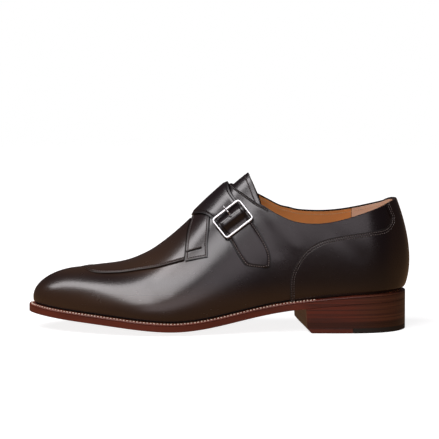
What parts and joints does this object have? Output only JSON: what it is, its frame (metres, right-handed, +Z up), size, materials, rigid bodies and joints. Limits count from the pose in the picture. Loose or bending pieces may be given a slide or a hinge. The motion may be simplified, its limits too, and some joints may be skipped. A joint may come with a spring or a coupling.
{
  "type": "monk strap shoe",
  "caption": "Left men's leather monk strap shoe with an apron front, a strap and buckle over the instep, a welted sole and a stacked heel.",
  "frame": {"origin": "on the floor, at the middle of the heel's resting face", "axes": "+X from heel to toe, +Y to the wearer's left, which is the outer side of this left shoe, +Z up"},
  "size_m": [0.3065, 0.1018, 0.1248],
  "materials": {
    "upper_calf": "polished calf, near-black brown",
    "buckle_metal": "polished",
    "insole_leather": "smooth tan lining leather",
    "sole_leather": "burnished mahogany edge",
    "heel_leather": "burnished stacked leather",
    "heel_rubber": "matte"
  },
  "bodies": {
    "root": {"upper": "upper_calf", "apron": "upper_calf", "heel_counter": "upper_calf", "saddle_strip": "upper_calf", "tongue": "upper_calf", "strap": "upper_calf", "buckle_frame": "buckle_metal", "buckle_prong": "buckle_metal", "insole": "insole_leather", "welt": "sole_leather", "outsole": "sole_leather", "top_piece_rubber": "heel_rubber", "top_piece_leather": "heel_leather", "heel_lift_1": "heel_leather", "heel_lift_2": "heel_leather", "heel_lift_3": "heel_leather", "heel_lift_4": "heel_leather"}
  },
  "joints": []
}
